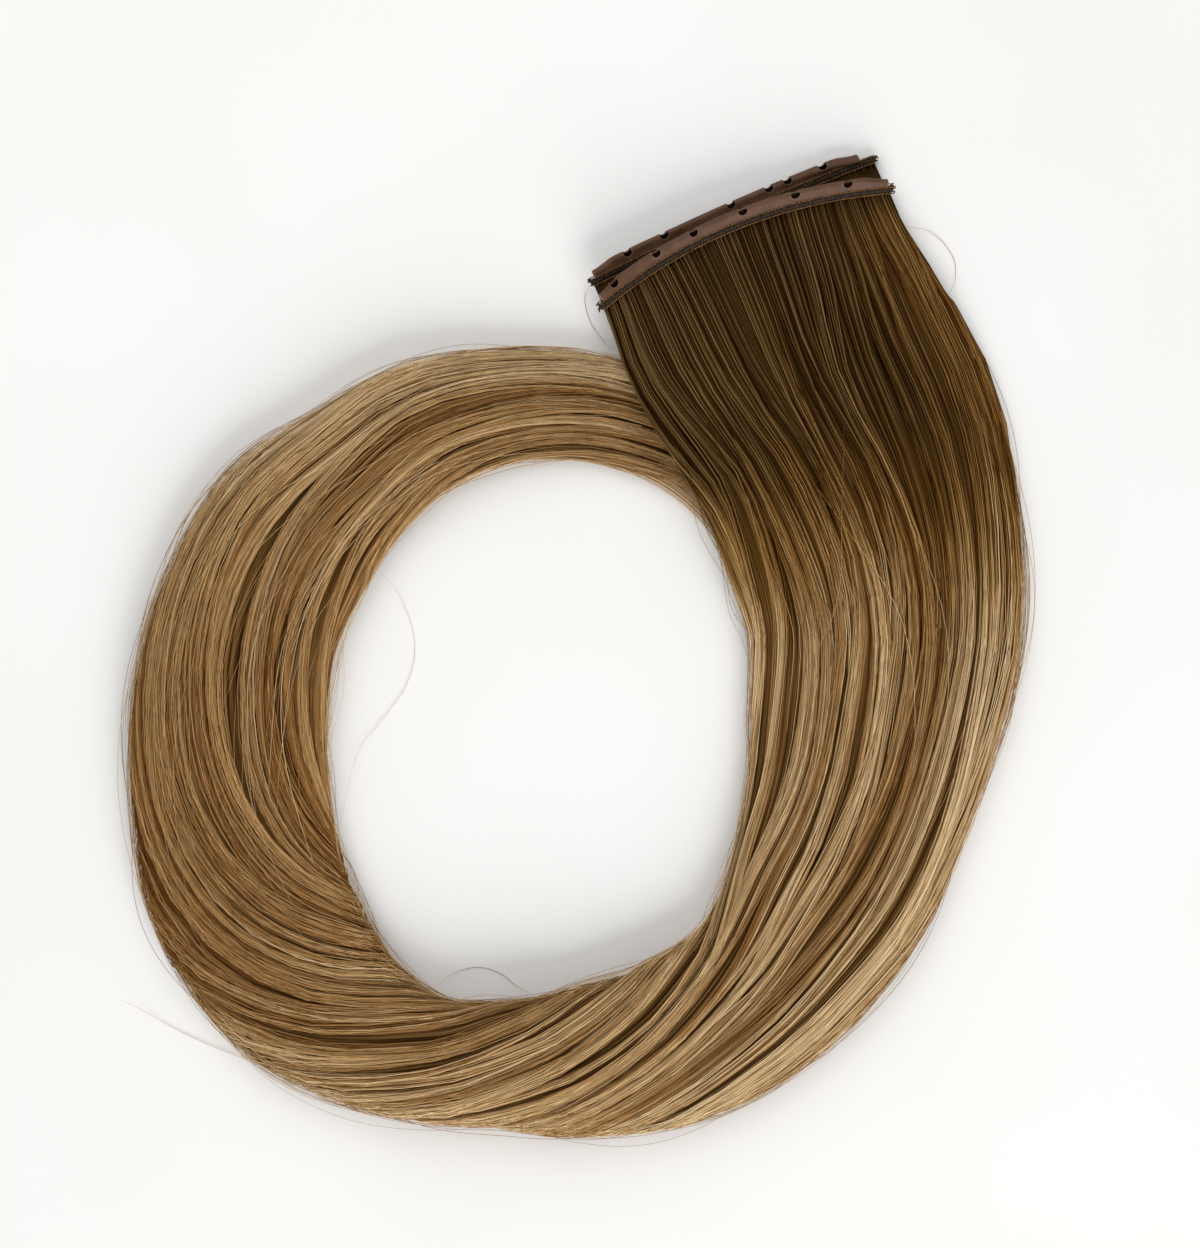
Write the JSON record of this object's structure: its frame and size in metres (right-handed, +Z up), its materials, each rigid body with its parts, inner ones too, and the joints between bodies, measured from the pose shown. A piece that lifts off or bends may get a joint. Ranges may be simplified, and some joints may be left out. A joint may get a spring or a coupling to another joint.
{
  "type": "butterfly weft hair extension",
  "caption": "Butterfly weft hair extension: sewn rows with a folded, holed tape and a stitched track, and long straight hair that lies coiled in a twisted ring.",
  "frame": {"origin": "on the table, below the middle of the object's outline as it lies", "axes": "+Z up from the table, +Y from the coil towards the sewn rows, +X to the right with the rows at the top"},
  "size_m": [0.2395, 0.2635, 0.0164],
  "materials": {
    "weft_tape": "satin brown folded tape",
    "stitched_track": "dark zigzag stitching with orange-brown seam threads",
    "hair": "straight hair, dark brown at the roots and blonde towards the tips"
  },
  "bodies": {
    "root": {"front_row_tape": "weft_tape", "front_row_track": "stitched_track", "front_row_hair": "hair", "back_row_tape": "weft_tape", "back_row_track": "stitched_track", "back_row_hair": "hair"}
  },
  "joints": []
}
